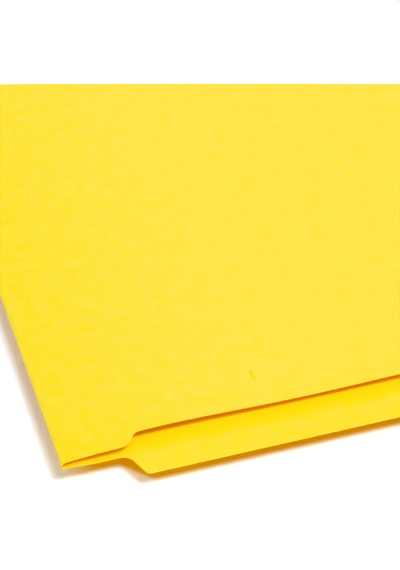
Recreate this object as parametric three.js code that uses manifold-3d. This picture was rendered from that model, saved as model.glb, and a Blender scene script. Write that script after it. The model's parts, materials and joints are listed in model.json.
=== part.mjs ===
// A letter-size end-tab folder with two bonded prong fasteners, closed and lying flat.
// Millimetres. +X runs from the fold to the open edge, +Y from the tab end to the far end, +Z up.
// The origin is the middle of the folder's outline, on the surface that it lies on.
import * as THREE from "three";
import { mergeVertices } from "three/addons/utils/BufferGeometryUtils.js";
import Module from "manifold-3d";

const wasm = await Module();
wasm.setup();

// The card blank
const leafWidth = 241.3; // fold to open edge
const bodyLength = 298.45; // tab end to far end, without the tab
const card = 0.3; // thickness of the folder's card
const edgeRound = 6; // rounded corners at the open edge
const bendRadius = 2; // outside of the rounded fold
const foldSlit = 0.08; // the crease, where the two halves of the fold meet
const scoreAt = 12.85; // fold to the score line on the front leaf
const scoreSlit = 0.08; // width of the pressed score line

// The end tab, on the back leaf
const tabReach = 12.7; // how far the tab stands out past the body
const tabStart = 29.2; // fold to the tab's shoulder
const shoulderRun = 5.2; // how far the shoulder slants on the way out
const shoulderRound = 5.5; // fillet where the shoulder leaves the body
const tabRound = 2.4; // round at the tab's outer corner
const plyThickness = 0.25; // second layer glued on the tab
const plyDepth = 25.4; // how far that layer goes in past the body's edge
const plySetback = 1; // the layer starts this far past the bend of the fold
const glue = 0.03; // glue line between bonded layers

// The undercut of the front leaf, which leaves the tab bare
const undercut = 6.8; // how far the front leaf is cut back
const stepStart = 30.1; // fold to the step
const stepRun = 3.85; // how far the step slants
const stepOuterRound = 6.5;
const stepInnerRound = 4.2;

// The front leaf's lie: it springs up from the fold, and waves a little towards the tab end
const liftRise = 2.62; // rise from the bend to the level part
const liftLength = 16.8; // length over which it rises
const waveHeight = 0.75;
const waveCrest = 50; // fold to the first crest
const waveLength = 130;
const waveFade = 200; // length over which the wave dies out along X
const wavePinch = 24; // length near the fold that is too stiff to wave
const droop = 0.0033; // slope down towards the open edge
const calmStart = 20; // the wave is full up to here along Y
const calmEnd = 262; // and gone from here on

// The prong fasteners, one on the inside of each leaf
const prongSpacing = 69.85;
const fastenerInset = 16; // far edge of the leaf to the fastener's centre line
const prongWidth = 4.8;
const prongLength = 25.4;
const prongSteel = 0.35;
const baseWidth = 7.6;
const baseOverhang = 3; // base strip past each stub
const patchLength = 101.6;
const patchWidth = 22.2;
const patchPaper = 0.2;
const patchRound = 3;
const compressorLength = 88.9;
const compressorWidth = 8.6;
const compressorSteel = 0.4;
const rimWidth = 0.4; // stiffening rims along the compressor's edges
const rimHeight = 0.3;
const slotLength = 6.4;
const slotWidth = 5.6;
const slotLead = 1.4; // slot's reach outside the prong
const lockLength = 7;
const lockSteel = 0.35;
const lockLip = 1.5; // how far the lock's lips reach under the compressor
const lockPark = 1; // centre line to the inner end of a parked lock
const play = 0.1; // running clearance between the fastener's moving pieces
const seat = 0.05; // clearance between pieces that lie on each other

// Fineness of the curved surfaces
const arcSteps = 10;
const bendSteps = 8;
const stripSteps = 6;
const leafSteps = 30;
const calmRows = 6;
const spare = 1; // how far a solid runs past the outline that trims it
const endRoundShare = 0.94; // round ends of the prongs and bars, as a share of half their width

const yellow = { color: 0xfee440, roughness: 0.85, metalness: 0 };
const manila = { color: 0xe9dfc6, roughness: 0.9, metalness: 0 };
const steel = { color: 0xb9bcc0, roughness: 0.35, metalness: 1 };

// Solids and meshes

function toSolid(geometry) {
  const bare = geometry.clone();
  bare.deleteAttribute("normal");
  bare.deleteAttribute("uv");
  const merged = mergeVertices(bare, 1e-5);
  return new wasm.Manifold(
    new wasm.Mesh({
      numProp: 3,
      vertProperties: merged.attributes.position.array,
      triVerts: new Uint32Array(merged.index.array),
    }),
  );
}

function toGeometry(solid) {
  const { vertProperties, triVerts } = solid.getMesh();
  const geometry = new THREE.BufferGeometry();
  geometry.setAttribute("position", new THREE.BufferAttribute(vertProperties, 3));
  geometry.setIndex(new THREE.BufferAttribute(triVerts, 1));
  return geometry;
}

function piece(name, solid, look) {
  const geometry = toGeometry(solid);
  geometry.computeVertexNormals();
  const mesh = new THREE.Mesh(geometry, new THREE.MeshStandardMaterial(look));
  mesh.name = name;
  return mesh;
}

// A box from its lowest to its highest corner.
function box(low, high) {
  const size = high.map((value, axis) => value - low[axis]);
  const geometry = new THREE.BoxGeometry(...size);
  geometry.translate(...low.map((value, axis) => value + size[axis] / 2));
  return toSolid(geometry);
}

// A closed outline through corners {x, y, round}, each corner with a round drawn as an arc.
function roundedOutline(corners) {
  const points = corners.flatMap((corner, i) => {
    const here = new THREE.Vector2(corner.x, corner.y);
    if (!corner.round) return [here];
    const before = corners[(i + corners.length - 1) % corners.length];
    const after = corners[(i + 1) % corners.length];
    const back = new THREE.Vector2(before.x, before.y).sub(here).normalize();
    const on = new THREE.Vector2(after.x, after.y).sub(here).normalize();
    const halfAngle = Math.acos(THREE.MathUtils.clamp(back.dot(on), -1, 1)) / 2;
    const reach = corner.round / Math.tan(halfAngle);
    const toCentre = back.clone().add(on).setLength(corner.round / Math.sin(halfAngle));
    const centre = here.clone().add(toCentre);
    const start = here.clone().addScaledVector(back, reach).sub(centre).angle();
    const end = here.clone().addScaledVector(on, reach).sub(centre).angle();
    const clockwise = back.cross(on) > 0;
    const arc = new THREE.ArcCurve(centre.x, centre.y, corner.round, start, end, clockwise);
    return arc.getPoints(arcSteps);
  });
  return new THREE.Shape(points);
}

// A prism on an outline, from one height to another.
function prism(outline, low, high) {
  const depth = high - low;
  const geometry = new THREE.ExtrudeGeometry(outline, { depth, bevelEnabled: false });
  geometry.translate(0, 0, low);
  return toSolid(geometry);
}

// A closed sheet between two grids of points: outer(i, j) faces out and inner(i, j) in.
function sheet(outer, inner, columns, rows) {
  const positions = [];
  const index = [];
  const stride = rows + 1;
  const innerStart = (columns + 1) * stride;
  for (const side of [outer, inner])
    for (let i = 0; i <= columns; i++)
      for (let j = 0; j <= rows; j++) positions.push(...side(i, j));
  const quad = (a, b, c, d) => index.push(a, b, c, a, c, d);
  const at = (i, j) => i * stride + j;
  for (let i = 0; i < columns; i++)
    for (let j = 0; j < rows; j++) {
      const loop = [at(i, j), at(i + 1, j), at(i + 1, j + 1), at(i, j + 1)];
      quad(...loop);
      quad(...loop.map((k) => k + innerStart).reverse());
    }
  const wall = (a, b) => quad(a, a + innerStart, b + innerStart, b);
  for (let i = 0; i < columns; i++) {
    wall(at(i, 0), at(i + 1, 0));
    wall(at(i + 1, rows), at(i, rows));
  }
  for (let j = 0; j < rows; j++) {
    wall(at(columns, j), at(columns, j + 1));
    wall(at(0, j + 1), at(0, j));
  }
  const geometry = new THREE.BufferGeometry();
  geometry.setAttribute("position", new THREE.Float32BufferAttribute(positions, 3));
  geometry.setIndex(index);
  return toSolid(geometry);
}

// The front leaf's lie

// The front leaf leaves the bend at this angle above level.
const leaveAngle = Math.atan(liftRise / liftLength);
const bendEnd = {
  x: bendRadius * (1 - Math.sin(leaveAngle)),
  z: bendRadius * (1 + Math.cos(leaveAngle)),
};

// 1 near the tab end, 0 from calmEnd on.
function unrest(y) {
  return 1 - THREE.MathUtils.smoothstep(y, calmStart, calmEnd);
}

// Height of the front leaf's outer face at a point past the bend, with x measured from the fold.
function leafHeight(x, y) {
  const lift = liftRise * (1 - Math.exp(-(x - bendEnd.x) / liftLength));
  const free = 1 - Math.exp(-((x / wavePinch) ** 2));
  const fade = Math.exp((waveCrest - x) / waveFade);
  const wave = waveHeight * fade * Math.cos((2 * Math.PI * (x - waveCrest)) / waveLength);
  const slope = -droop * Math.max(0, x - waveCrest);
  return bendEnd.z + lift + unrest(y) * (free * wave + slope);
}

// A point of the outer face at x, y, and the point one card thickness inside it.
function leafPair(x, y) {
  const reach = 0.01;
  const rise = leafHeight(x + reach, y) - leafHeight(x - reach, y);
  const normal = new THREE.Vector2(-rise, 2 * reach).normalize();
  const z = leafHeight(x, y);
  return { outer: [x, y, z], inner: [x - normal.x * card, y, z - normal.y * card] };
}

// The same pair on the rounded fold, at an angle counted from straight down.
function bendPair(angle, y) {
  const place = (radius) => [
    bendRadius - radius * Math.sin(angle),
    y,
    bendRadius - radius * Math.cos(angle),
  ];
  return { outer: place(bendRadius), inner: place(bendRadius - card) };
}

// Rows of a curved sheet along Y, evenly spaced over the stretch where the wave dies out.
function rowsBetween(start, end) {
  const rows = [start];
  for (let k = 0; k <= calmRows; k++)
    rows.push(THREE.MathUtils.lerp(calmStart, calmEnd, k / calmRows));
  return [...rows, end];
}

// The leaves

const backCorners = [
  { x: 0, y: 0 },
  { x: tabStart, y: 0, round: shoulderRound },
  { x: tabStart + shoulderRun, y: -tabReach, round: tabRound },
  { x: leafWidth, y: -tabReach, round: edgeRound },
  { x: leafWidth, y: bodyLength, round: edgeRound },
  { x: 0, y: bodyLength },
];

function backPanel() {
  const slit = foldSlit / 2 / bendRadius;
  const angles = [];
  for (let k = 0; k <= bendSteps; k++)
    angles.push((k / bendSteps) * (Math.PI / 2 - slit));
  const pairs = angles.map((angle) => bendPair(angle, 0));
  const section = new THREE.Shape();
  const outer = pairs.map((pair) => pair.outer).reverse();
  const inner = pairs.map((pair) => pair.inner);
  section.moveTo(outer[0][0], outer[0][2]);
  for (const [x, , z] of outer.slice(1)) section.lineTo(x, z);
  section.lineTo(leafWidth + spare, 0);
  section.lineTo(leafWidth + spare, card);
  for (const [x, , z] of inner) section.lineTo(x, z);
  section.closePath();
  const depth = bodyLength + tabReach + 2 * spare;
  const geometry = new THREE.ExtrudeGeometry(section, { depth, bevelEnabled: false });
  geometry.rotateX(Math.PI / 2);
  geometry.translate(0, bodyLength + spare, 0);
  const trim = prism(roundedOutline(backCorners), -spare, bendRadius + spare);
  return toSolid(geometry).intersect(trim);
}

// The second layer on the tab follows the back leaf's own outline and stops short of the fold.
function tabPly() {
  const low = card + glue;
  const high = low + plyThickness;
  const layer = prism(roundedOutline(backCorners), low, high);
  const kept = box(
    [bendRadius + plySetback, -tabReach - spare, low - spare],
    [leafWidth + spare, plyDepth, high + spare],
  );
  return layer.intersect(kept);
}

function scoreStrip() {
  const slit = foldSlit / 2 / bendRadius;
  const from = Math.PI / 2 + slit;
  const to = Math.PI - leaveAngle;
  const rows = rowsBetween(0, bodyLength);
  const end = scoreAt - scoreSlit / 2;
  const pairAt = (i, j) => {
    if (i <= bendSteps) return bendPair(from + ((to - from) * i) / bendSteps, rows[j]);
    const share = (i - bendSteps) / stripSteps;
    return leafPair(bendEnd.x + share * (end - bendEnd.x), rows[j]);
  };
  return sheet(
    (i, j) => pairAt(i, j).outer,
    (i, j) => pairAt(i, j).inner,
    bendSteps + stripSteps,
    rows.length - 1,
  );
}

function frontPanel() {
  const rows = rowsBetween(-spare, bodyLength + spare);
  const start = scoreAt + scoreSlit / 2;
  const column = (i) => THREE.MathUtils.lerp(start, leafWidth + spare, i / leafSteps);
  const leaf = sheet(
    (i, j) => leafPair(column(i), rows[j]).outer,
    (i, j) => leafPair(column(i), rows[j]).inner,
    leafSteps,
    rows.length - 1,
  );
  const outline = roundedOutline([
    { x: 0, y: 0 },
    { x: stepStart, y: 0, round: stepOuterRound },
    { x: stepStart + stepRun, y: undercut, round: stepInnerRound },
    { x: leafWidth, y: undercut, round: edgeRound },
    { x: leafWidth, y: bodyLength, round: edgeRound },
    { x: 0, y: bodyLength },
  ]);
  const highest = bendEnd.z + liftRise + waveHeight;
  return leaf.intersect(prism(outline, 0, highest + spare));
}

// One fastener, in its own frame: +X along the prongs' line, +Z away from the leaf that it is
// bonded to, and the origin on that leaf's inner face.

const baseLow = glue;
const baseTop = baseLow + prongSteel;
const patchTop = baseTop + seat + patchPaper;
const lipLow = patchTop + play;
const compressorLow = lipLow + lockSteel + play;
const compressorTop = compressorLow + compressorSteel;
const prongLow = compressorTop + seat;
const prongTop = prongLow + prongSteel;
const stubTop = prongLow - play;
const lockInnerTop = Math.max(prongTop, compressorTop + rimHeight) + play;
const stubOuter = prongSpacing / 2 + prongSteel / 2;
const stubInner = stubOuter - prongSteel;

// A box that spans both sides of the line y = 0.
const bar = (fromX, toX, halfWidth, low, high) =>
  box([fromX, -halfWidth, low], [toX, halfWidth, high]);

function fastenerBase() {
  const end = stubOuter + baseOverhang;
  let solid = bar(-end, end, baseWidth / 2, baseLow, baseTop);
  const sink = prongSteel / 2;
  solid = solid.add(bar(stubInner, stubOuter, prongWidth / 2, baseTop - sink, stubTop));
  return solid.add(bar(-stubOuter, -stubInner, prongWidth / 2, baseTop - sink, stubTop));
}

function fastenerPatch() {
  const halfLength = patchLength / 2;
  const halfWidth = patchWidth / 2;
  const outline = roundedOutline(
    [
      [-halfLength, -halfWidth],
      [halfLength, -halfWidth],
      [halfLength, halfWidth],
      [-halfLength, halfWidth],
    ].map(([x, y]) => ({ x, y, round: patchRound })),
  );
  const end = stubOuter + baseOverhang;
  const wall = seat + patchPaper;
  const flat = prism(outline, glue, glue + patchPaper);
  const cover = bar(-end - wall, end + wall, baseWidth / 2 + wall, glue, patchTop);
  const pocket = bar(-end - seat, end + seat, baseWidth / 2 + seat, 0, baseTop + seat);
  let solid = flat.add(cover).subtract(pocket);
  for (const side of [-1, 1]) {
    const halfSlit = prongWidth / 2 + play;
    const slit = bar(stubInner - play, stubOuter + play, halfSlit, 0, patchTop + spare);
    solid = solid.subtract(side > 0 ? slit : slit.mirror([1, 0, 0]));
  }
  return solid;
}

// The compressor is a slotted bar with round ends and a low rim along each edge.
function fastenerCompressor() {
  const halfLength = compressorLength / 2;
  const halfWidth = compressorWidth / 2;
  const endRound = halfWidth * endRoundShare;
  const outline = roundedOutline(
    [
      [-halfLength, -halfWidth],
      [halfLength, -halfWidth],
      [halfLength, halfWidth],
      [-halfLength, halfWidth],
    ].map(([x, y]) => ({ x, y, round: endRound })),
  );
  let solid = prism(outline, compressorLow, compressorTop);
  const rimEnd = halfLength - halfWidth;
  for (const y of [-halfWidth, halfWidth - rimWidth]) {
    const low = [-rimEnd, y, compressorTop - rimHeight / 2];
    const high = [rimEnd, y + rimWidth, compressorTop + rimHeight];
    solid = solid.add(box(low, high));
  }
  const slotEnd = stubOuter + slotLead;
  const slot = bar(slotEnd - slotLength, slotEnd, slotWidth / 2, 0, compressorTop + spare);
  return solid.subtract(slot).subtract(slot.mirror([1, 0, 0]));
}

// A prong lies flat, pointing from its stub to the middle, with a rounded tip.
function fastenerProng(side) {
  const halfWidth = prongWidth / 2;
  const tip = stubOuter - prongLength;
  const tipRound = halfWidth * endRoundShare;
  const outline = roundedOutline([
    { x: stubOuter, y: halfWidth },
    { x: tip, y: halfWidth, round: tipRound },
    { x: tip, y: -halfWidth, round: tipRound },
    { x: stubOuter, y: -halfWidth },
  ]);
  const solid = prism(outline, prongLow, prongTop);
  return side > 0 ? solid : solid.mirror([1, 0, 0]);
}

// A slide lock is a channel round the compressor, open along the middle of its underside.
function fastenerLock(side) {
  const inner = compressorWidth / 2 + play;
  const outer = inner + lockSteel;
  const from = lockPark;
  const to = lockPark + lockLength;
  const solid = bar(from, to, outer, lipLow, lockInnerTop + lockSteel)
    .subtract(bar(from - spare, to + spare, inner, lipLow + lockSteel, lockInnerTop))
    .subtract(bar(from - spare, to + spare, inner - lockLip, 0, compressorLow));
  return side > 0 ? solid : solid.mirror([1, 0, 0]);
}

// The seven pieces of one fastener. The side towards the fold is -X.
function fastener(prefix) {
  const group = new THREE.Group();
  group.add(
    piece(prefix + "_patch", fastenerPatch(), manila),
    piece(prefix + "_base", fastenerBase(), steel),
    piece(prefix + "_compressor", fastenerCompressor(), steel),
  );
  for (const [end, side] of [
    ["fold", -1],
    ["open", 1],
  ]) {
    group.add(piece(prefix + "_prong_" + end, fastenerProng(side), steel));
    group.add(piece(prefix + "_lock_" + end, fastenerLock(side), steel));
  }
  return group;
}

// The whole folder

const folder = new THREE.Group();
folder.add(
  piece("back_panel", backPanel(), yellow),
  piece("tab_ply", tabPly(), yellow),
  piece("front_score_strip", scoreStrip(), yellow),
  piece("front_panel", frontPanel(), yellow),
);

const fastenerX = leafWidth / 2;
const fastenerY = bodyLength - fastenerInset;

const backFastener = fastener("back");
backFastener.position.set(fastenerX, fastenerY, card);
folder.add(backFastener);

// The front fastener hangs upside down from the front leaf's inner face, which is level there.
const frontFastener = fastener("front");
const frontInnerFace = leafHeight(fastenerX, fastenerY) - card;
frontFastener.rotation.x = Math.PI;
frontFastener.position.set(fastenerX, fastenerY, frontInnerFace - seat);
folder.add(frontFastener);

folder.position.set(-leafWidth / 2, -(bodyLength - tabReach) / 2, 0);

export default folder;
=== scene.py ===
import itertools
import json
import math

import bpy
from mathutils import Euler, Matrix, Vector, geometry

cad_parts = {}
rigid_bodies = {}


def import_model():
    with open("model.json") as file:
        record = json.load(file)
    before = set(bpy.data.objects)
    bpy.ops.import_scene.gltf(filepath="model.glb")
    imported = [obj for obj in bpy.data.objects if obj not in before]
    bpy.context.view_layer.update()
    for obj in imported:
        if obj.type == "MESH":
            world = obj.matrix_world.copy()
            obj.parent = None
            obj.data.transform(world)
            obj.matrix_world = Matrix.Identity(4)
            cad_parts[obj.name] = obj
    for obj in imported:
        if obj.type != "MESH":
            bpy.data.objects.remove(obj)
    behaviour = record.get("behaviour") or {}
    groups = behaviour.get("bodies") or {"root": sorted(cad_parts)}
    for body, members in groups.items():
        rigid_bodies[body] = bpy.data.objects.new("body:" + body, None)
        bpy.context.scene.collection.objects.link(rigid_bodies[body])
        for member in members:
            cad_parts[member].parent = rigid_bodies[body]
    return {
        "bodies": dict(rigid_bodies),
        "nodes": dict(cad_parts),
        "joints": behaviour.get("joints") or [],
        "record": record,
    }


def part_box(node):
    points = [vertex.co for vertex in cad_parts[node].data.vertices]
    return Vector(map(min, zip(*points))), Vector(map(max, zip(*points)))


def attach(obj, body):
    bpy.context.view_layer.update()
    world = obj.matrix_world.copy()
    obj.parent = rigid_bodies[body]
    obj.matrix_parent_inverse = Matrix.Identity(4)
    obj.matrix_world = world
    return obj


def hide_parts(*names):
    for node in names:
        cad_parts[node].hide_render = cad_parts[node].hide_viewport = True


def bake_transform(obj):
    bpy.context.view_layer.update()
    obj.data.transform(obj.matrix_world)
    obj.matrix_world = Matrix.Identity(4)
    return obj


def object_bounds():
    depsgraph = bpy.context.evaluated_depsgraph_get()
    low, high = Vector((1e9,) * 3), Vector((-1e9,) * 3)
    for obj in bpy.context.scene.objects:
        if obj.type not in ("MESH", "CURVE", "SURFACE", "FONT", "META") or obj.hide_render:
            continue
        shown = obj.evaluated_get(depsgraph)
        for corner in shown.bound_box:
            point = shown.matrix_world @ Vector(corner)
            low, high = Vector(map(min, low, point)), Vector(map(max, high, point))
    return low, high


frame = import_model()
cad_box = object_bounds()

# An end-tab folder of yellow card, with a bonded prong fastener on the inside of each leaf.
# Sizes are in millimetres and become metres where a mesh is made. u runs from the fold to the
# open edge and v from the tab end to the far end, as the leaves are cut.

mm = 0.001
tiny = 1e-6
digits = 6
probe = 0.02

# The card blank
leaf_width = 241.3
body_length = 298.45
card = 0.3
edge_round = 6
bend_radius = 2
score_at = 12.85

# The end tab, on the back leaf
tab_reach = 12.7
tab_start = 29.2
shoulder_run = 5.2
shoulder_round = 5.5
tab_round = 2.4
ply_thickness = 0.25
ply_depth = 25.4
ply_setback = 1
glue = 0.03

# The undercut of the front leaf
undercut = 6.8
step_start = 30.1
step_run = 3.85
step_outer_round = 6.5
step_inner_round = 4.2

# The front leaf's lie
lift_rise = 2.62
lift_length = 16.8
wave_height = 0.75
wave_crest = 50
wave_length = 130
wave_fade = 200
wave_pinch = 24
droop = 0.0033
calm_start = 20
calm_end = 262

# The rounded fold rides up off the surface
fold_up = 0.6
back_rise_end = 16
front_rise_end = 38

# Pressed marks in the front leaf
score_depth = 0.07
score_reach = 0.3
nick_u = 93.6
nick_from = 22.8
nick_to = 29.4
nick_depth = 0.1
nick_reach = 0.45

middle_u = leaf_width / 2
middle_v = (body_length - tab_reach) / 2


def place(u, v, z):
    """The point of the row frame at u, v and height z."""
    return Vector(((u - middle_u) * mm, (v - middle_v) * mm, z * mm))


def smooth_step(value, low, high):
    """0 up to low and 1 from high on, smooth between."""
    t = min(1, max(0, (value - low) / (high - low)))
    return t * t * (3 - 2 * t)


def steps(low, high, pitch):
    """Evenly spaced values from low to high, no further apart than pitch."""
    count = max(1, math.ceil((high - low) / pitch - tiny))
    return [low + (high - low) * k / count for k in range(count + 1)]


# Outlines

arc_pitch = math.radians(6)
least_share = 0.001


def rounded_outline(corners, pitch, columns=()):
    """A closed outline through corners (x, y, round).

    It is split where it crosses a column, and so that no stretch is longer than pitch.
    """
    points = []
    for i, (x, y, radius) in enumerate(corners):
        here = Vector((x, y))
        if not radius:
            points.append(here)
            continue
        back = (Vector(corners[i - 1][:2]) - here).normalized()
        on = (Vector(corners[(i + 1) % len(corners)][:2]) - here).normalized()
        half = back.angle(on) / 2
        reach = radius / math.tan(half)
        centre = here + (back + on).normalized() * (radius / math.sin(half))
        first = here + back * reach - centre
        last = here + on * reach - centre
        turn = first.angle_signed(last)
        for share in steps(0, 1, arc_pitch / abs(turn)):
            points.append(centre + first @ Matrix.Rotation(turn * share, 2))
    split = []
    for i, here in enumerate(points):
        there = points[(i + 1) % len(points)]
        run = there.x - here.x
        shares = set(steps(0, 1, pitch / (there - here).length))
        if run:
            crossed = [round((column - here.x) / run, digits) for column in columns]
            shares = {0, 1} | {s for s in crossed if least_share < s < 1 - least_share}
        split += [here.lerp(there, share) for share in sorted(shares)[:-1]]
    return split


def inside(point, outline):
    """True where the point lies in the outline."""
    hit = False
    for i, a in enumerate(outline):
        b = outline[i - 1]
        if (a.y > point.y) != (b.y > point.y):
            if point.x < (b.x - a.x) * (point.y - a.y) / (b.y - a.y) + a.x:
                hit = not hit
    return hit


def edge_distance(point, outline):
    """Distance from the point to the outline."""
    best = float("inf")
    for i, a in enumerate(outline):
        b = outline[i - 1]
        foot, share = geometry.intersect_point_line(point, a, b)
        near = a if share < 0 else b if share > 1 else foot
        best = min(best, (near - point).length)
    return best


def grid_points(columns, rows, outline, margin):
    """The crossings of columns and rows that lie inside the outline, clear of its edge."""
    crossings = [Vector((x, y)) for x in columns for y in rows]
    return [p for p in crossings if inside(p, outline) and edge_distance(p, outline) > margin]


# Meshes

wall_angle = math.radians(40)
inner_triangles = 1


def inset(loop, reach):
    """The loop moved by reach to the left of its way round."""
    moved = []
    for i, here in enumerate(loop):
        before = (here - loop[i - 1]).normalized()
        after = (loop[(i + 1) % len(loop)] - here).normalized()
        middle = (before + after).normalized().orthogonal()
        moved.append(here + middle * (reach / middle.dot(before.orthogonal())))
    return moved


def sheet_mesh(name, outline, grid, surface, thickness, holes=(), chamfer=0):
    """A closed sheet on an outline, with chamfered edges where chamfer isn't 0.

    surface(x, y) gives a point of the upper face, in metres, and its unit normal. The lower face
    lies one thickness under it. grid holds the points inside the outline that carry the shape.
    The outline runs anticlockwise and the holes clockwise.
    """
    loops = [outline, *holes]
    rim_points = [p for loop in loops for p in loop]
    loops = [inset(loop, chamfer) for loop in loops]
    flat = [p for loop in loops for p in loop]
    rim = len(flat)
    edges = []
    start = 0
    for loop in loops:
        size = len(loop)
        edges += [(start + k, start + (k + 1) % size) for k in range(size)]
        start += size
    filled = [list(range(len(outline)))]
    result = geometry.delaunay_2d_cdt(flat + grid, edges, filled, inner_triangles, tiny)
    points, triangles, sources = result[0], result[2], result[3]
    upper = []
    for triangle in triangles:
        centre = sum((points[k] for k in triangle), Vector((0, 0))) / 3
        if not any(inside(centre, hole) for hole in loops[1:]):
            upper.append(tuple(triangle))
    place_of = {source: k for k, found in enumerate(sources) for source in found if source < rim}
    pairs = [surface(p.x, p.y) for p in points]
    count = len(points)
    high = [point for point, normal in pairs]
    low = [point - normal * thickness * mm for point, normal in pairs]
    lower = [tuple(k + count for k in reversed(triangle)) for triangle in upper]
    rings = []
    levels = [[place_of[k] + side for k in range(rim)] for side in (0, count)]
    for depth in (chamfer, thickness - chamfer) if chamfer else ():
        levels.insert(-1, list(range(2 * count + len(rings), 2 * count + len(rings) + rim)))
        for point, normal in [surface(p.x, p.y) for p in rim_points]:
            rings.append(point - normal * depth * mm)
    walls = []
    for above, below in zip(levels, levels[1:]):
        walls += [(above[b], above[a], below[a], below[b]) for a, b in edges]
    unrolled = points * 2 + rim_points * 2
    mesh = bpy.data.meshes.new(name)
    mesh.from_pydata(high + low + rings, [], upper + lower + walls)
    mesh.validate()
    mesh.shade_smooth()
    flat_map = mesh.uv_layers.new(name="flat")
    lower_side = mesh.attributes.new("lower_side", "FLOAT", "POINT")
    for k in range(count, 2 * count):
        lower_side.data[k].value = 1
    normals = []
    for polygon in mesh.polygons:
        for loop in polygon.loop_indices:
            k = mesh.loops[loop].vertex_index
            flat_map.data[loop].uv = unrolled[k] * mm
            normal = pairs[k % count][1] * (1 if k < count else -1)
            normals.append((0, 0, 0) if polygon.loop_total == 4 else normal)
    mesh.set_sharp_from_angle(angle=wall_angle)
    mesh.normals_split_custom_set(normals)
    return mesh


def new_piece(name, mesh, material):
    """An object of the mesh, with its material."""
    piece = bpy.data.objects.new(name, mesh)
    bpy.context.scene.collection.objects.link(piece)
    mesh.materials.append(material)
    return piece


# The lie of the card

leave_angle = math.atan(lift_rise / lift_length)
bend_end_u = bend_radius * (1 - math.sin(leave_angle))
bend_end_z = bend_radius * (1 + math.cos(leave_angle))
fold_length = bend_radius * (math.pi - leave_angle)
fold_side = bend_radius * (1 - math.pi / 2)


def rise(u, end):
    """How far a leaf rides up near the fold."""
    return fold_up * (1 - smooth_step(u, bend_radius, end))


def unrest(v):
    """1 near the tab end, 0 from calm_end on."""
    return 1 - smooth_step(v, calm_start, calm_end)


def pressed(u, v):
    """How far the front leaf is pressed in along the score line and at the nick."""
    score = score_depth * math.exp(-(((u - score_at) / score_reach) ** 2))
    past_end = max(0, nick_from - v, v - nick_to)
    off_nick = ((u - nick_u) ** 2 + past_end**2) / nick_reach**2
    return score + nick_depth * math.exp(-off_nick)


def leaf_height(u, v):
    """Height of the front leaf's outer face past the bend."""
    lift = lift_rise * (1 - math.exp(-(u - bend_end_u) / lift_length))
    free = 1 - math.exp(-((u / wave_pinch) ** 2))
    fade = math.exp((wave_crest - u) / wave_fade)
    wave = wave_height * fade * math.cos(2 * math.pi * (u - wave_crest) / wave_length)
    slope = -droop * max(0, u - wave_crest)
    flat = bend_end_z + lift + rise(u, front_rise_end)
    return flat + unrest(v) * (free * wave + slope) - pressed(u, v)


def front_surface(u, v):
    """The outer face of the front leaf."""
    rise_u = leaf_height(u + probe, v) - leaf_height(u - probe, v)
    rise_v = leaf_height(u, v + probe) - leaf_height(u, v - probe)
    normal = Vector((-rise_u, -rise_v, 2 * probe)).normalized()
    return place(u, v, leaf_height(u, v)), normal


def back_surface(t, v):
    """The inner face of the back leaf and of the whole rounded fold.

    t runs along the card. It is u where the leaf lies flat, and goes below 0 round the fold.
    """
    if t >= bend_radius:
        slope = (rise(t + probe, back_rise_end) - rise(t - probe, back_rise_end)) / (2 * probe)
        return place(t, v, card + rise(t, back_rise_end)), Vector((-slope, 0, 1)).normalized()
    angle = (bend_radius - t) / bend_radius
    normal = Vector((math.sin(angle), 0, math.cos(angle)))
    centre = place(bend_radius, v, bend_radius + fold_up)
    return centre - normal * (bend_radius - card) * mm, normal


# Cards

edge_margin = 0.4
seam_pitch = 3
fold_pitch = 0.15
rise_pitch = 1
back_pitch = 8
ply_pitch = 6
front_column_pitch = 3.5
front_row_pitch = 5
near_line = [0.1, 0.2, 0.3, 0.4, 0.55, 0.8, 1.2, 1.8, 2.6]
nick_columns_used = 6
nick_margin = 0.6
nick_pitch = 0.2


def back_card(material):
    """The back leaf with its tab, and the fold."""
    start = bend_radius - fold_length
    corners = [
        (start, 0, 0),
        (tab_start, 0, shoulder_round),
        (tab_start + shoulder_run, -tab_reach, tab_round),
        (leaf_width, -tab_reach, edge_round),
        (leaf_width, body_length, edge_round),
        (start, body_length, 0),
    ]
    bend = steps(start, bend_radius, fold_pitch)
    bend += steps(bend_radius, back_rise_end, rise_pitch)[1:]
    flat = steps(back_rise_end, leaf_width, back_pitch)[1:]
    outline = rounded_outline(corners, seam_pitch, bend + flat)
    rows = steps(0, body_length, seam_pitch)[1:-1]
    grid = [Vector((t, v)) for t in bend[1:] for v in rows]
    rows = steps(-tab_reach, body_length, back_pitch)
    grid += grid_points(flat, rows, outline, edge_margin)
    mesh = sheet_mesh("back_leaf_card", outline, grid, back_surface, card)
    piece = new_piece("back_leaf_card", mesh, material)
    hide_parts("back_panel")
    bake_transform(piece)
    return piece


def ply_card(material):
    """The second layer of card on the tab."""
    start = bend_radius + ply_setback
    corners = [
        (start, 0, 0),
        (tab_start, 0, shoulder_round),
        (tab_start + shoulder_run, -tab_reach, tab_round),
        (leaf_width, -tab_reach, edge_round),
        (leaf_width, ply_depth, 0),
        (start, ply_depth, 0),
    ]
    bend = steps(start, back_rise_end, rise_pitch)
    flat = steps(back_rise_end, leaf_width, back_pitch)[1:]
    outline = rounded_outline(corners, seam_pitch, bend + flat)
    rows = steps(0, ply_depth, seam_pitch)[1:-1]
    grid = [Vector((u, v)) for u in bend[1:] for v in rows]
    rows = steps(-tab_reach, ply_depth, ply_pitch)
    grid += grid_points(flat, rows, outline, edge_margin)

    def surface(u, v):
        point, normal = back_surface(u, v)
        return point + normal * (glue + ply_thickness) * mm, normal

    mesh = sheet_mesh("tab_ply_card", outline, grid, surface, ply_thickness)
    piece = new_piece("tab_ply_card", mesh, material)
    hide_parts("tab_ply")
    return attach(piece, "back_leaf")


def across_the_score(piece):
    """Bakes the piece's placement into its mesh, at the score line where the front leaf turns on
    the strip.
    """
    z = leaf_height(score_at, 0)
    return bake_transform(piece)


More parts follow.
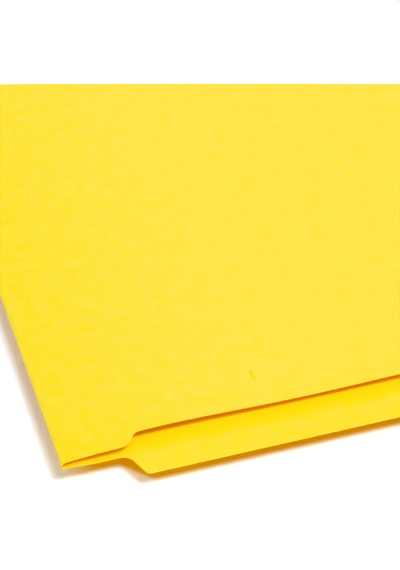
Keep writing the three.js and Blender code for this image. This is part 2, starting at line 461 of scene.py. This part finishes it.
def strip_card(material):
    """The front leaf between the fold and the score line."""
    corners = [
        (bend_end_u, 0, 0),
        (score_at, 0, 0),
        (score_at, body_length, 0),
        (bend_end_u, body_length, 0),
    ]
    columns = steps(bend_end_u, score_at - near_line[-1], rise_pitch)
    columns += [score_at - d for d in near_line]
    outline = rounded_outline(corners, seam_pitch, columns)
    rows = steps(0, body_length, seam_pitch)[1:-1]
    grid = [Vector((u, v)) for u in columns[1:] for v in rows]
    mesh = sheet_mesh("score_strip_card", outline, grid, front_surface, card)
    piece = new_piece("score_strip_card", mesh, material)
    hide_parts("front_score_strip")
    return across_the_score(piece)


def front_card(material):
    """The front leaf past the score line."""
    corners = [
        (score_at, 0, 0),
        (step_start, 0, step_outer_round),
        (step_start + step_run, undercut, step_inner_round),
        (leaf_width, undercut, edge_round),
        (leaf_width, body_length, edge_round),
        (score_at, body_length, 0),
    ]
    near_score = [score_at + d for d in near_line]
    columns = near_score + steps(near_score[-1], leaf_width, front_column_pitch)[1:-1]
    outline = rounded_outline(corners, seam_pitch, columns)
    rows = steps(0, body_length, seam_pitch)[1:-1]
    grid = [Vector((u, v)) for u in near_score for v in rows]
    rows = steps(0, body_length, front_row_pitch)
    grid += grid_points(columns[len(near_score):], rows, outline, edge_margin)
    off_nick = near_line[:nick_columns_used]
    nick_columns = [nick_u + d * side for d in off_nick for side in (-1, 1)] + [nick_u]
    for v in steps(nick_from - nick_margin, nick_to + nick_margin, nick_pitch):
        grid += [Vector((u, v)) for u in nick_columns]
    mesh = sheet_mesh("front_leaf_card", outline, grid, front_surface, card)
    piece = new_piece("front_leaf_card", mesh, material)
    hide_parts("front_panel")
    return across_the_score(piece)


# The prong fasteners, each in its own frame in mm: +X along the prongs' line, +Z away from the
# leaf, and the origin on that leaf's inner face

patch_length = 101.6
patch_width = 22.2
patch_paper = 0.2
patch_round = 3
emboss = 0.4
emboss_from = 0.3
emboss_to = 1.6
prong_spacing = 69.85
prong_width = 4.8
prong_steel = 0.35
prong_reach = 25.4
prong_bend = 0.5
base_width = 7.6
base_overhang = 3
base_round = 1
compressor_length = 88.9
compressor_width = 8.6
compressor_steel = 0.4
rim_height = 0.3
rim_in = 0.75
rim_out = 0.25
slot_length = 6.4
slot_width = 5.6
slot_lead = 1.4
slot_round = 1.1
lock_length = 7
lock_steel = 0.35
lock_lip = 1.5
lock_park = 1
lock_bend = 0.5
grip_height = 0.12
grip_shares = (0.3, 0.5, 0.7)
play = 0.1
seat = 0.05
steel_chamfer = 0.06
tip_share = 0.94

# Where the sheets of a fastener get points that carry their shape
outline_pitch = 2
steel_margin = 0.15
emboss_margin = 0.2
emboss_pitch = 0.25
patch_pitch = 3
patch_end_column = 4
patch_rows = [0, 2, 7, 9]
slit_margin = 0.1
base_pitch = 4
base_rows = (-2, 0, 2)
rim_fade_in = 1.5
rim_fade_out = 1
rim_pitch = 0.1
rim_fade_pitch = 0.5
bar_pitch = 2
bar_rows = [0, 1.5, 3]
steel_edge_pitch = 1
prong_pitch = 2
prong_bend_lead = 2
prong_bend_pitch = 0.12
prong_rows = (-1.5, 0, 1.5)
lock_margin = 0.08
lock_bend_pitch = 0.09
lock_flat_pitch = 0.6
lock_edge_pitch = 0.35
lock_row_pitch = 0.2

# The ribs of a lock are full up to the first distance and gone at the second
rib_half_width = (0.12, 0.5)
rib_end = (1.4, 0.6)

base_top = glue + prong_steel
patch_top = base_top + seat + patch_paper
lip_low = patch_top + play
compressor_top = lip_low + lock_steel + play + compressor_steel
prong_top = compressor_top + seat + prong_steel
lock_top = max(prong_top, compressor_top + rim_height) + play + lock_steel
stub_outer = prong_spacing / 2 + prong_steel / 2
base_end = stub_outer + base_overhang


def bent_line(start, heading, runs):
    """A line of runs (length, turn), as a function that gives the point at a distance along it."""

    def at(distance):
        x, y = start
        angle = heading
        for k, (length, turn) in enumerate(runs, 1):
            part = distance if k == len(runs) else min(distance, length)
            curve = turn / length
            if curve:
                x += (math.sin(angle + curve * part) - math.sin(angle)) / curve
                y -= (math.cos(angle + curve * part) - math.cos(angle)) / curve
                angle += curve * part
            else:
                x += math.cos(angle) * part
                y += math.sin(angle) * part
            distance -= part
            if distance <= 0:
                break
        return x, y

    return at


def mirrored(values):
    """The values and their negatives, sorted."""
    return sorted({side * value for side in (-1, 1) for value in values})


def oblong(from_x, to_x, half_width, radius, pitch=outline_pitch, columns=()):
    """The outline of a bar along X with rounded corners."""
    corners = [
        (from_x, -half_width, radius),
        (to_x, -half_width, radius),
        (to_x, half_width, radius),
        (from_x, half_width, radius),
    ]
    return rounded_outline(corners, pitch, columns)


class Fastener:
    """The seven pieces of one fastener."""

    def __init__(self, prefix, steel, paper):
        self.prefix = prefix
        self.leaf = prefix + "_leaf"
        self.steel = steel
        self.paper = paper
        low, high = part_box(prefix + "_patch")
        middle = (low + high) / 2
        turned = prefix == "front"
        middle.z = high.z + glue * mm if turned else low.z - glue * mm
        turn = Matrix.Rotation(math.pi if turned else 0, 4, "X")
        self.frame = Matrix.Translation(middle) @ turn

    def frame_at(self, end):
        """The fastener's frame, turned round for what is at the fold's end of it."""
        return self.frame @ Matrix.Rotation(math.pi if end == "fold" else 0, 4, "Z")

    def made(self, part, name, outline, grid, point_at, thickness, end=None, holes=(), chamfer=0):
        """A piece of the surface point_at, which replaces the CAD node of that part."""
        frame = self.frame_at(end)

        def surface(x, y):
            along = point_at(x + probe, y) - point_at(x - probe, y)
            across = point_at(x, y + probe) - point_at(x, y - probe)
            normal = frame.to_3x3() @ along.cross(across).normalized()
            return frame @ (point_at(x, y) * mm), normal

        node = "_".join([self.prefix, part, end] if end else [self.prefix, part])
        mesh = sheet_mesh(node + name, outline, grid, surface, thickness, holes, chamfer)
        if part == "patch":
            piece = new_piece(node + name, mesh, self.paper)
        else:
            piece = new_piece(node + name, mesh, self.steel)
        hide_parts(node)
        return piece

    def patch(self):
        """The bonded paper patch, pressed down round the base strip and slit for the prongs."""

        def point_at(x, y):
            off = math.hypot(max(0, abs(x) - base_end), max(0, abs(y) - base_width / 2))
            rise = emboss * (1 - smooth_step(off, emboss_from, emboss_to))
            return Vector((x, y, glue + patch_paper + rise))

        half_length, half_width = patch_length / 2, patch_width / 2
        outline = oblong(-half_length, half_length, half_width, patch_round)
        fine = steps(emboss_from - emboss_margin, emboss_to + emboss_margin, emboss_pitch)
        columns = [base_end + d for d in fine] + steps(0, base_end, patch_pitch)
        columns = mirrored(columns + [half_length - patch_end_column])
        rows = mirrored([base_width / 2 + d for d in fine] + patch_rows)
        grid = grid_points(columns, rows, outline, edge_margin)
        gap = prong_width / 2 + play
        low, high = stub_outer - prong_steel - play, stub_outer + play
        slit = [Vector(p) for p in ((low, -gap), (low, gap), (high, gap), (high, -gap))]
        holes = [slit, [-p for p in slit]]
        clear = [p for p in grid if not low - slit_margin < abs(p.x) < high + slit_margin]
        piece = self.made("patch", "_sheet", outline, clear, point_at, patch_paper, holes=holes)
        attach(piece, self.leaf)

    def base(self):
        """The steel strip under the patch."""
        outline = oblong(-base_end, base_end, base_width / 2, base_round)
        columns = steps(-base_end, base_end, base_pitch)
        grid = grid_points(columns, base_rows, outline, edge_margin)

        def point_at(x, y):
            return Vector((x, y, base_top))

        piece = self.made(
            "base", "_strip", outline, grid, point_at, prong_steel, chamfer=steel_chamfer
        )
        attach(piece, self.leaf)

    def compressor(self):
        """The slotted bar, with its long edges pressed up."""
        half_length, half_width = compressor_length / 2, compressor_width / 2
        rim_end = half_length - half_width

        def point_at(x, y):
            edge = smooth_step(abs(y), half_width - rim_in, half_width - rim_out)
            run = 1 - smooth_step(abs(x), rim_end - rim_fade_in, rim_end + rim_fade_out)
            return Vector((x, y, compressor_top + rim_height * edge * run))

        fine = steps(half_width - rim_in, half_width - rim_out, rim_pitch)
        ends = steps(rim_end - rim_fade_in, rim_end + rim_fade_out, rim_fade_pitch)
        columns = mirrored(steps(0, rim_end - rim_fade_in, bar_pitch) + ends)
        radius = half_width * tip_share
        outline = oblong(-half_length, half_length, half_width, radius, steel_edge_pitch, columns)
        slot_end = stub_outer + slot_lead
        slot = oblong(slot_end - slot_length, slot_end, slot_width / 2, slot_round)[::-1]
        holes = [slot, [Vector((-p.x, -p.y)) for p in slot]]
        grid = grid_points(columns, mirrored(fine + bar_rows), outline, steel_margin)
        grid = [p for p in grid if min(edge_distance(p, hole) for hole in holes) > steel_margin]
        piece = self.made(
            "compressor", "_bar", outline, grid, point_at, compressor_steel,
            holes=holes, chamfer=steel_chamfer,
        )
        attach(piece, self.leaf)

    def prong(self, end):
        """A prong and the stub that carries it, one strip bent at the hinge."""
        half_width = prong_width / 2
        tip = stub_outer - prong_reach
        flat_run = prong_reach - prong_bend
        bend_run = prong_bend * math.pi / 2
        rise = prong_top - prong_bend - base_top + prong_steel / 2
        runs = [(flat_run, 0), (bend_run, -math.pi / 2), (rise, 0)]
        line = bent_line((tip, prong_top), 0, runs)

        def point_at(distance, y):
            x, z = line(distance)
            return Vector((x, y, z))

        length = flat_run + bend_run + rise
        columns = steps(0, flat_run - prong_bend_lead, prong_pitch)
        columns += steps(flat_run - prong_bend_lead, length, prong_bend_pitch)
        radius = half_width * tip_share
        corners = [
            (0, -half_width, radius),
            (length, -half_width, 0),
            (length, half_width, 0),
            (0, half_width, radius),
        ]
        outline = rounded_outline(corners, steel_edge_pitch, columns)
        grid = grid_points(columns, prong_rows, outline, steel_margin)
        piece = self.made(
            "prong", "_strip", outline, grid, point_at, prong_steel, end, chamfer=steel_chamfer
        )
        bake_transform(piece)

    def lock(self, end):
        """A slide lock: a channel closed over the bar, with ribs pressed up for the thumb."""
        outer = compressor_width / 2 + play + lock_steel
        lip = lock_lip + lock_steel - lock_bend
        height = lock_top - lip_low - 2 * lock_bend
        top = 2 * (outer - lock_bend)
        corner = (lock_bend * math.pi / 2, math.pi / 2)
        half = [(lip, 0), corner, (height, 0), corner]
        runs = [*half, (top, 0), *half[::-1]]
        line = bent_line((outer - lock_bend - lip, lip_low), 0, runs)
        length = sum(run for run, turn in runs)
        ribs = [lock_park + lock_length * share for share in grip_shares]

        def point_at(distance, x):
            y, z = line(distance)
            off = min(abs(x - rib) for rib in ribs)
            rib = 1 - smooth_step(off, *rib_half_width)
            ends = [top / 2 - from_end for from_end in rib_end]
            rib *= 1 - smooth_step(abs(distance - length / 2), *ends)
            return Vector((x, y, z + grip_height * rib))

        low, high = lock_park, lock_park + lock_length
        corners = [(0, low, 0), (length, low, 0), (length, high, 0), (0, high, 0)]
        stops = [sum(run for run, turn in runs[:k]) for k in range(len(runs) + 1)]
        columns = []
        for k, (run, turn) in enumerate(runs):
            pitch = lock_bend_pitch if turn else lock_flat_pitch
            columns += steps(stops[k], stops[k + 1], pitch)
        columns = sorted({round(distance, digits) for distance in columns})
        outline = rounded_outline(corners, lock_edge_pitch, columns)
        grid = grid_points(columns, steps(low, high, lock_row_pitch), outline, lock_margin)
        piece = self.made(
            "lock", "_slide", outline, grid, point_at, lock_steel, end, chamfer=steel_chamfer
        )
        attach(piece, f"{self.prefix}_{end}_lock")

    def make(self):
        """All seven pieces."""
        self.patch()
        self.base()
        self.compressor()
        for end in ("fold", "open"):
            self.prong(end)
            self.lock(end)


# Materials


class Nodes:
    """Short calls for building a material's node tree."""

    def __init__(self, name):
        self.material = bpy.data.materials.new(name)
        self.material.use_nodes = True
        self.tree = self.material.node_tree
        self.surface = self.tree.nodes["Principled BSDF"]

    def flat(self):
        """The piece laid out flat, in mm."""
        node = self.tree.nodes.new("ShaderNodeUVMap")
        node.uv_map = "flat"
        return self.scaled(node.outputs[0], (1 / mm, 1 / mm, 1))

    def put(self, node, key, value):
        """Link the value to the node's input, or set it there."""
        socket = node.inputs[key]
        if isinstance(value, bpy.types.NodeSocket):
            self.tree.links.new(value, socket)
        else:
            socket.default_value = value

    def math(self, operation, first, second=0.5, third=0.5):
        """The result of a math node."""
        node = self.tree.nodes.new("ShaderNodeMath")
        node.operation = operation
        for key, value in enumerate((first, second, third)):
            self.put(node, key, value)
        return node.outputs[0]

    def mix(self, share, first, second):
        """A colour between first and second."""
        node = self.tree.nodes.new("ShaderNodeMix")
        node.data_type = "RGBA"
        for key, value in ((0, share), (6, first), (7, second)):
            self.put(node, key, value)
        return node.outputs[2]

    def mixed(self, share, first, second):
        """A number between first and second."""
        return self.math("MULTIPLY_ADD", share, self.math("SUBTRACT", second, first), first)

    def scaled(self, vector, scale):
        """The vector with each of its coordinates multiplied by a scale of its own."""
        node = self.tree.nodes.new("ShaderNodeMapping")
        self.put(node, 0, vector)
        self.put(node, 3, scale)
        return node.outputs[0]

    def noise(self, vector, scale, detail=2.0, roughness=0.5):
        """Noise with a feature size of 1 / scale."""
        node = self.tree.nodes.new("ShaderNodeTexNoise")
        for key, value in (("Vector", vector), ("Scale", scale), ("Detail", detail)):
            self.put(node, key, value)
        self.put(node, "Roughness", roughness)
        return node.outputs[0]

    def spread(self, value, low, high):
        """0 below low and 1 above high, smooth between."""
        node = self.tree.nodes.new("ShaderNodeMapRange")
        node.interpolation_type = "SMOOTHSTEP"
        for key, given in enumerate((value, low, high)):
            self.put(node, key, given)
        return node.outputs[0]

    def bump(self, height, distance, strength, under=None):
        """A normal for the relief of height, on top of the normal under it."""
        node = self.tree.nodes.new("ShaderNodeBump")
        for key, value in (("Height", height), ("Distance", distance), ("Strength", strength)):
            self.put(node, key, value)
        if under is not None:
            self.put(node, "Normal", under)
        return node.outputs[0]


# Card. Scales are features per mm, and pairs are where something begins and is full.
cloud_noise = (0.15, 3, 0.55)
speckle_noise = (1, 2, 0.5)
fibre_stretch = (0.35, 2.2, 1)
fibre_noise = (1, 2, 0.5)
relief_noise = (3.2, 3, 0.6)
cloud_weight = 0.42
speckle_weight = 0.38
fibre_weight = 0.2
grain_middle = 0.5
grain_contrast = 2.9
grain_inside = (0.35, 0.65)
fleck_range = (0.4, 0.75)
fleck_share = 0.55
card_rough = 0.74
card_rough_grain = 0.12
card_gloss = 0.04
relief_depth = 0.05 * mm
relief_strength = 0.35

# Where the front leaf is painted paler along the score line
streak_begins = (6, 16)
streak_ends = (45, 70)
streak_half_width = (0.2, 0.9)
streak_shade = 0.16

# Where the inner face is painted a deeper orange shade: by u beside the fold, and by v under the
# front leaf
fold_shade_until = (20, 34)
fold_shade_share = 0.6
inside_shade_run = 3

# The nick's painted shade, a darker yellow, across and past its ends
nick_shade_half_width = (0.25, 0.8)
nick_shade_end = (-0.1, 0.6)

# How pale the card is painted: a painted sheen on the outer face away from the fold and the near
# edge, a painted highlight on the fold's side, and painted shade on the inner face towards the
# front leaf's edge
outer_base = 0.09
outer_run = (-40, 110)
outer_gain = 0.6
outer_edge = (0, 28)
outer_edge_gain = 0.15
fold_highlight_half_width = (0.6, 2.8)
fold_highlight_gain = 0.9
inner_base = -0.16
inner_edge = (-3, 6)
inner_edge_gain = 0.6

deep_yellow = (0.985, 0.745, 0.0, 1)
tab_yellow = (0.985, 0.775, 0.0, 1)
pale_yellow = (0.995, 0.79, 0.084, 1)
deep_inside_shade = (0.998, 0.637, 0.0, 1)
pale_inside_shade = (0.998, 0.682, 0.0, 1)
nick_shade_yellow = (0.92, 0.72, 0.0, 1)
fleck_yellow = (0.9, 0.69, 0.02, 1)


def card_material(name, outer_side, inside_shade_from, marked=False):
    """Uncoated card, dyed through: clouds of dye, fine speckle and short fibres.

    outer_side is 0 where the sheet's upper face looks out of the folder, and 1 where the lower
    face does. The inner face has a painted shade, a deeper orange, beside the fold and from the
    given v on, where the front leaf covers it.
    """
    n = Nodes(name)
    flat = n.flat()
    parts = n.tree.nodes.new("ShaderNodeSeparateXYZ")
    n.put(parts, 0, flat)
    u, v = parts.outputs[0], parts.outputs[1]
    clouds = n.noise(flat, *cloud_noise)
    speckle = n.noise(flat, *speckle_noise)
    fibres = n.noise(n.scaled(flat, fibre_stretch), *fibre_noise)
    grain = n.math("MULTIPLY", speckle, speckle_weight)
    grain = n.math("MULTIPLY_ADD", clouds, cloud_weight, grain)
    grain = n.math("MULTIPLY_ADD", fibres, fibre_weight, grain)
    side = n.tree.nodes.new("ShaderNodeAttribute")
    side.attribute_name = "lower_side"
    inner = n.math("ABSOLUTE", n.math("SUBTRACT", side.outputs["Fac"], outer_side))
    # The pale share: painted sheen and highlight outside, painted shade inside, with the grain
    # added on top
    shade = n.mixed(inner, outer_painted_light(n, u, v), inner_painted_light(n, v))
    off_middle = n.math("SUBTRACT", grain, grain_middle)
    shade = n.math("MULTIPLY_ADD", off_middle, grain_contrast, shade)
    # Paler along the score line, over a stretch of v
    if marked:
        off = n.math("ABSOLUTE", n.math("SUBTRACT", u, score_at))
        streak = n.math("SUBTRACT", n.spread(v, *streak_begins), n.spread(v, *streak_ends))
        across = n.math("SUBTRACT", 1, n.spread(off, *streak_half_width))
        streak = n.math("MULTIPLY", streak, across)
        shade = n.math("MULTIPLY_ADD", streak, streak_shade, shade)
    colour = n.mix(shade, n.mix(inner, deep_yellow, tab_yellow), pale_yellow)
    # Painted shade: the inner faces go a deeper orange beside the fold and under the front leaf
    past_fold = n.spread(u, *fold_shade_until)
    by_fold = n.math("MULTIPLY_ADD", past_fold, -fold_shade_share, fold_shade_share)
    inside_shade = n.spread(v, inside_shade_from, inside_shade_from + inside_shade_run)
    inside_shade = n.math("MULTIPLY", inner, n.math("MAXIMUM", by_fold, inside_shade))
    inside_shade_colour = n.mix(n.spread(grain, *grain_inside), deep_inside_shade, pale_inside_shade)
    colour = n.mix(inside_shade, colour, inside_shade_colour)
    flecks = n.math("MULTIPLY", n.spread(speckle, *fleck_range), fleck_share)
    colour = n.mix(flecks, colour, fleck_yellow)
    # Painted shade in the nick's dent: a darker yellow
    if marked:
        off = n.math("ABSOLUTE", n.math("SUBTRACT", u, nick_u))
        across = n.math("SUBTRACT", 1, n.spread(off, *nick_shade_half_width))
        half = (nick_to - nick_from) / 2
        along = n.math("ABSOLUTE", n.math("SUBTRACT", v, nick_from + half))
        ends = [half + past for past in nick_shade_end]
        within = n.math("SUBTRACT", 1, n.spread(along, *ends))
        colour = n.mix(n.math("MULTIPLY", across, within), colour, nick_shade_yellow)
    n.put(n.surface, "Base Color", colour)
    rough = n.math("MULTIPLY_ADD", speckle, card_rough_grain, card_rough)
    n.put(n.surface, "Roughness", rough)
    n.put(n.surface, "Specular IOR Level", card_gloss)
    fine = n.noise(flat, *relief_noise)
    relief = n.bump(speckle, relief_depth, relief_strength)
    n.put(n.surface, "Normal", n.bump(fine, relief_depth, relief_strength, relief))
    return n.material


def outer_painted_light(n, u, v):
    """The outside is painted paler away from the fold and the near edge, a painted sheen, and paler
    on the fold's side, a painted highlight.
    """
    run = n.math("MULTIPLY_ADD", n.spread(u, *outer_run), outer_gain, outer_base)
    run = n.math("MULTIPLY_ADD", n.spread(v, *outer_edge), outer_edge_gain, run)
    off_fold = n.math("ABSOLUTE", n.math("SUBTRACT", u, fold_side))
    fold_highlight = n.math("SUBTRACT", 1, n.spread(off_fold, *fold_highlight_half_width))
    return n.math("MULTIPLY_ADD", fold_highlight, fold_highlight_gain, run)


def inner_painted_light(n, v):
    """Painted shade: the inner faces are a deeper yellow towards the front leaf's edge, and paler
    on the bare tab.
    """
    bare = n.math("SUBTRACT", 1, n.spread(v, *inner_edge))
    return n.math("MULTIPLY_ADD", bare, inner_edge_gain, inner_base)


# Steel
roll_stretch = (0.5, 16, 1)
roll_noise = (1, 3, 0.65)
dull_noise = (0.35, 4, 0.6)
dull_range = (0.35, 0.65)
wave_noise = (0.3, 2, 0.5)
steel_rough = 0.17
steel_rough_lines = 0.14
steel_rough_dull = 0.16
roll_depth = 0.012 * mm
roll_strength = 0.4
wave_depth = 0.06 * mm
wave_strength = 0.5
dark_steel = (0.5, 0.51, 0.52, 1)
bright_steel = (0.66, 0.665, 0.67, 1)


def steel_material():
    """Tinned steel strip: fine lines from rolling, dull patches and a little waviness."""
    n = Nodes("fastener_steel")
    flat = n.flat()
    lines = n.noise(n.scaled(flat, roll_stretch), *roll_noise)
    dull = n.noise(flat, *dull_noise)
    colour = n.mix(n.spread(dull, *dull_range), dark_steel, bright_steel)
    n.put(n.surface, "Base Color", colour)
    n.put(n.surface, "Metallic", 1.0)
    rough = n.math("MULTIPLY_ADD", dull, steel_rough_dull, steel_rough)
    rough = n.math("MULTIPLY_ADD", lines, steel_rough_lines, rough)
    n.put(n.surface, "Roughness", rough)
    waves = n.bump(n.noise(flat, *wave_noise), wave_depth, wave_strength)
    n.put(n.surface, "Normal", n.bump(lines, roll_depth, roll_strength, waves))
    return n.material


# Patch paper
manila_cloud_noise = (0.22, 3, 0.55)
manila_fibre_stretch = (0.5, 3.4, 1)
manila_fibre_noise = (1, 4, 0.65)
manila_range = (0.34, 0.66)
manila_fleck_noise = (1.7, 1, 0.5)
manila_fleck_range = (0.7, 0.76)
manila_rough = 0.72
manila_rough_grain = 0.15
manila_gloss = 0.3
manila_depth = 0.05 * mm
manila_strength = 0.4
dark_manila = (0.72, 0.6, 0.4, 1)
pale_manila = (0.82, 0.72, 0.53, 1)
fleck_manila = (0.5, 0.36, 0.2, 1)


def patch_material():
    """Manila patch paper with short fibres and a few flecks."""
    n = Nodes("patch_paper")
    flat = n.flat()
    clouds = n.noise(flat, *manila_cloud_noise)
    fibres = n.noise(n.scaled(flat, manila_fibre_stretch), *manila_fibre_noise)
    blend = n.math("MULTIPLY_ADD", clouds, 0.5, n.math("MULTIPLY", fibres, 0.5))
    colour = n.mix(n.spread(blend, *manila_range), dark_manila, pale_manila)
    flecks = n.spread(n.noise(flat, *manila_fleck_noise), *manila_fleck_range)
    n.put(n.surface, "Base Color", n.mix(flecks, colour, fleck_manila))
    rough = n.math("MULTIPLY_ADD", fibres, manila_rough_grain, manila_rough)
    n.put(n.surface, "Roughness", rough)
    n.put(n.surface, "Specular IOR Level", manila_gloss)
    n.put(n.surface, "Normal", n.bump(fibres, manila_depth, manila_strength))
    return n.material


# The pieces

back_look = card_material("yellow_card_back", outer_side=1, inside_shade_from=undercut + 2)
front_look = card_material("yellow_card_front", outer_side=0, inside_shade_from=-3, marked=True)
back_card(back_look)
ply_card(back_look)
strip_card(front_look)
front_card(front_look)

steel_look = steel_material()
patch_look = patch_material()
for leaf in ("back", "front"):
    Fastener(leaf, steel_look, patch_look).make()

# The set: a white floor with a painted warm glow under the folder, and a white riser hidden under
# the folder

floor_drop = 11.3
riser_inset = 30
floor_lift = 0.1
painted_glow_rim = -2
painted_glow_side = 18
painted_glow_from = 4.4
painted_glow_to = 8.4
painted_glow_shoulder = (tab_start - 4, tab_start + shoulder_run + 7)
painted_glow_heights = (-floor_drop - 2, -floor_drop - 1)
painted_glow_colour = (0.9, 0.63, 0.0, 1)
floor_white = (0.945, 0.98, 1.0, 1)
lift_colour = (0.92, 1.0, 1.3, 1)
floor_rough = 0.9
floor_reach = Vector((3, 3, 0))
floor_thickness = Vector((0, 0, 0.01))


def white_with_painted_glow():
    """White, with a warm glow painted under the folder in place of the light that comes through the
    yellow card.
    """
    n = Nodes("white_sweep_painted_glow")
    place_of = n.tree.nodes.new("ShaderNodeNewGeometry")
    parts = n.tree.nodes.new("ShaderNodeSeparateXYZ")
    n.put(parts, 0, place_of.outputs["Position"])
    u = n.math("MULTIPLY_ADD", parts.outputs[0], 1 / mm, middle_u)
    v = n.math("MULTIPLY_ADD", parts.outputs[1], 1 / mm, middle_v)
    shoulder = n.spread(u, *painted_glow_shoulder)
    near = n.math("MULTIPLY_ADD", shoulder, tab_reach, v)
    far = n.math("SUBTRACT", body_length, v)
    sides = n.math("MINIMUM", u, n.math("SUBTRACT", leaf_width, u))
    ends = n.math("MINIMUM", near, far)
    past_sides = n.spread(sides, painted_glow_rim, painted_glow_side)
    # Painted glow: the floor under the folder is painted warm orange, in place of the light through
    # the card
    under = n.math("MULTIPLY", past_sides, n.spread(ends, painted_glow_from, painted_glow_to))
    height = n.math("MULTIPLY", parts.outputs[2], 1 / mm)
    under = n.math("MULTIPLY", under, n.spread(height, *painted_glow_heights))
    n.put(n.surface, "Base Color", n.mix(under, floor_white, painted_glow_colour))
    n.put(n.surface, "Roughness", floor_rough)
    n.put(n.surface, "Specular IOR Level", 0.0)
    path = n.tree.nodes.new("ShaderNodeLightPath")
    lift = n.math("MULTIPLY", n.math("SUBTRACT", 1, under), floor_lift)
    lift = n.math("MULTIPLY", lift, path.outputs["Is Camera Ray"])
    n.put(n.surface, "Emission Color", lift_colour)
    n.put(n.surface, "Emission Strength", lift)
    return n.material


def block(name, low, high, material):
    """A plain block of the set."""
    corners = [Vector(corner) for corner in itertools.product(*zip(low, high))]
    faces = [(0, 1, 3, 2), (4, 6, 7, 5), (0, 4, 5, 1), (2, 3, 7, 6), (0, 2, 6, 4), (1, 5, 7, 3)]
    mesh = bpy.data.meshes.new(name)
    mesh.from_pydata(corners, [], faces)
    mesh.materials.append(material)
    made = bpy.data.objects.new(name, mesh)
    bpy.context.scene.collection.objects.link(made)


white = white_with_painted_glow()
near_corner = cad_box[0]
far_corner = Vector((*cad_box[1][:2], near_corner.z))
riser_edge = Vector((riser_inset * mm, riser_inset * mm, 0))
drop = Vector((0, 0, floor_drop * mm))
block("riser", near_corner + riser_edge - drop, far_corner - riser_edge, white)
floor_low = near_corner - floor_reach - drop - floor_thickness
block("floor", floor_low, far_corner + floor_reach - drop, white)

# Light: a warm fill from all round, a key of two lamps that makes up the white, and a side lamp

plain_white = (1, 1, 1)
fill_light = (0.475, 0.43, 0.385, 1)
key_colour = (0.93, 1.0, 1.17)
key_energy = 2.05
key_angle = 13
key_lean = {"left_key": 0.11, "right_key": 0.25}
key_front = -0.54
side_energy = 0.45
side_angle = 40
side_from = Vector((-1, -0.2, 0.15))
card_bounces = 24

world = bpy.data.worlds.new("white_room")
bpy.context.scene.world = world
world.use_nodes = True
tree = world.node_tree
path = tree.nodes.new("ShaderNodeLightPath")
shown = path.outputs["Is Camera Ray"]
for kind in ("Is Glossy Ray", "Is Transmission Ray"):
    either = tree.nodes.new("ShaderNodeMath")
    either.operation = "MAXIMUM"
    tree.links.new(shown, either.inputs[0])
    tree.links.new(path.outputs[kind], either.inputs[1])
    shown = either.outputs[0]
room = tree.nodes.new("ShaderNodeMix")
room.data_type = "RGBA"
room.inputs[6].default_value = fill_light
room.inputs[7].default_value = (*plain_white, 1)
tree.links.new(shown, room.inputs[0])
tree.links.new(room.outputs[2], tree.nodes["Background"].inputs["Color"])


def sun(name, energy, colour, angle, towards):
    """A lamp far off in the direction towards."""
    light = bpy.data.lights.new(name, "SUN")
    light.energy = energy
    light.color = colour
    light.angle = math.radians(angle)
    lamp = bpy.data.objects.new(name, light)
    bpy.context.scene.collection.objects.link(lamp)
    lamp.rotation_euler = towards.to_track_quat("Z", "Y").to_euler()


for name, lean in key_lean.items():
    sun(name, key_energy / len(key_lean), key_colour, key_angle, Vector((lean, key_front, 1)))
sun("side", side_energy, plain_white, side_angle, side_from)

# Light goes to and fro many times between the card's layers
bpy.context.scene.cycles.max_bounces = card_bounces
bpy.context.scene.cycles.diffuse_bounces = card_bounces

# Camera. Its far clip cuts the folder off at the top of the picture.

camera_place = (-0.23435, -0.70018, 0.5899)
camera_tilt = math.radians(49.332)
camera_turn = math.radians(-17.435)
sensor_width = 36
focal_length = 121.5
near_clip = 0.01
far_clip = 1.0192

camera = bpy.data.cameras.new("camera")
camera.sensor_width = sensor_width
camera.lens = focal_length
camera.clip_start = near_clip
camera.clip_end = far_clip
camera_object = bpy.data.objects.new("camera", camera)
bpy.context.scene.collection.objects.link(camera_object)
camera_object.location = camera_place
camera_object.rotation_euler = Euler((camera_tilt, 0, camera_turn))
bpy.context.scene.camera = camera_object
bpy.context.scene.view_settings.view_transform = "Standard"
